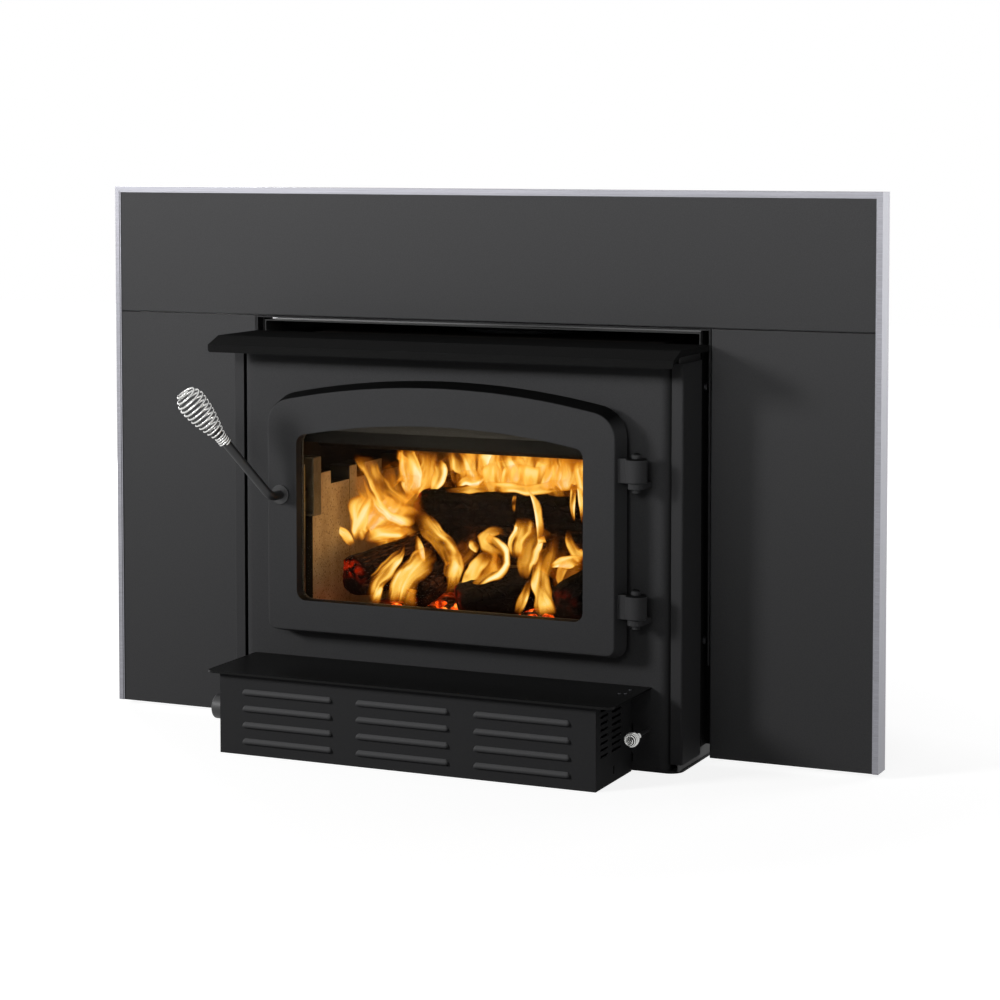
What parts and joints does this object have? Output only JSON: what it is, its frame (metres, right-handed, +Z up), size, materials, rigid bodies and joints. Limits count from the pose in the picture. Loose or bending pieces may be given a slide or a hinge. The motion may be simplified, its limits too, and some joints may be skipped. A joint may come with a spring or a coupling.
{
  "type": "fireplace insert",
  "caption": "Wood-burning fireplace insert with a steel surround, arched glazed door, coil-spring handle, lined firebox, hot-air hood and a fan housing under an ash lip.",
  "frame": {"origin": "hearth floor under the middle of the insert, on the wall plane that the back of the surround touches", "axes": "+X right seen from the room, +Y into the fireplace, +Z up"},
  "size_m": [1.118, 0.663, 0.7405],
  "materials": {
    "black_steel": "satin powder coat",
    "stove_paint": "matte stove paint",
    "bare_steel": "matte primer on plate steel",
    "housing_paint": "matte stove paint",
    "cast_door": "matte stove paint on cast iron",
    "trim_aluminium": "satin anodised",
    "strip_aluminium": "satin grey",
    "firebrick": "rough refractory",
    "fibre_board": "matte pressed fibre",
    "stainless": "heat-tinted",
    "zinc_screws": "dull zinc",
    "ceramic_glass": "clear",
    "rope_fibre": "braided glass fibre",
    "zinc_sheet": "zinc plated",
    "dark_steel": "black",
    "bright_spring": "bright nickel",
    "motor_paint": "satin black",
    "fan_sheet": "mill finish",
    "black_plastic": "matte"
  },
  "bodies": {
    "root": {"faceplate_top": "black_steel", "faceplate_left": "black_steel", "faceplate_right": "black_steel", "base_plate": "stove_paint", "front_plate": "stove_paint", "cheek_left": "stove_paint", "cheek_right": "stove_paint", "hot_air_hood": "stove_paint", "ash_lip": "stove_paint", "door_seat": "stove_paint", "latch_guard": "stove_paint", "air_wash_deflector": "stove_paint", "hinge_brackets": "stove_paint", "faceplate_brackets": "stove_paint", "jacket_left": "bare_steel", "jacket_right": "bare_steel", "jacket_back": "bare_steel", "jacket_top": "bare_steel", "firebox_floor": "bare_steel", "firebox_left": "bare_steel", "firebox_right": "bare_steel", "firebox_back": "bare_steel", "firebox_top": "bare_steel", "flue_collar": "bare_steel", "air_box": "bare_steel", "blower_housing": "housing_paint", "trim_top": "trim_aluminium", "trim_left": "trim_aluminium", "trim_right": "trim_aluminium", "opening_frame": "strip_aluminium", "floor_bricks": "firebrick", "side_bricks_left": "firebrick", "side_bricks_right": "firebrick", "back_bricks": "firebrick", "baffle_board": "fibre_board", "air_tubes": "stainless", "faceplate_screws": "zinc_screws", "lip_screws": "zinc_screws", "blower_scrolls": "zinc_sheet", "hinge_pins": "dark_steel", "blower_motor": "motor_paint", "speed_control": "black_plastic"},
    "door": {"door_frame": "cast_door", "door_glass": "ceramic_glass", "glass_gasket": "rope_fibre", "door_gasket": "rope_fibre", "glass_retainers": "zinc_sheet", "retainer_screws": "zinc_screws", "handle_bushing": "dark_steel"},
    "handle": {"handle_rod": "dark_steel", "handle_coil": "bright_spring", "latch_cam": "dark_steel", "cam_nut": "zinc_screws"},
    "air_control": {"air_rod": "dark_steel", "air_coil": "bright_spring", "damper_plate": "zinc_sheet"},
    "speed_knob": {"speed_knob": "black_plastic"},
    "fan_rotor": {"blower_shaft": "dark_steel", "fan_wheels": "fan_sheet"}
  },
  "joints": [
    {"name": "door_swing", "type": "hinge", "parent": "root", "child": "door", "pos_m": [0.273, -0.138, 0.3], "axis": [0, 0, 1], "range_deg": [0, 135]},
    {"name": "handle_turn", "type": "hinge", "parent": "door", "child": "handle", "pos_m": [-0.229, -0.151, 0.334], "axis": [0, -1, 0], "range_deg": [0, 90]},
    {"name": "air_slide", "type": "slide", "parent": "root", "child": "air_control", "axis": [0, -1, 0], "range_m": [-0.03, 0.03]},
    {"name": "knob_turn", "type": "hinge", "parent": "root", "child": "speed_knob", "pos_m": [-0.286, -0.213, 0.056], "axis": [-1, 0, 0], "range_deg": [0, 270]},
    {"name": "fan_spin", "type": "hinge", "parent": "root", "child": "fan_rotor", "pos_m": [-0.009, -0.172, 0.05], "axis": [1, 0, 0], "continuous": true}
  ]
}
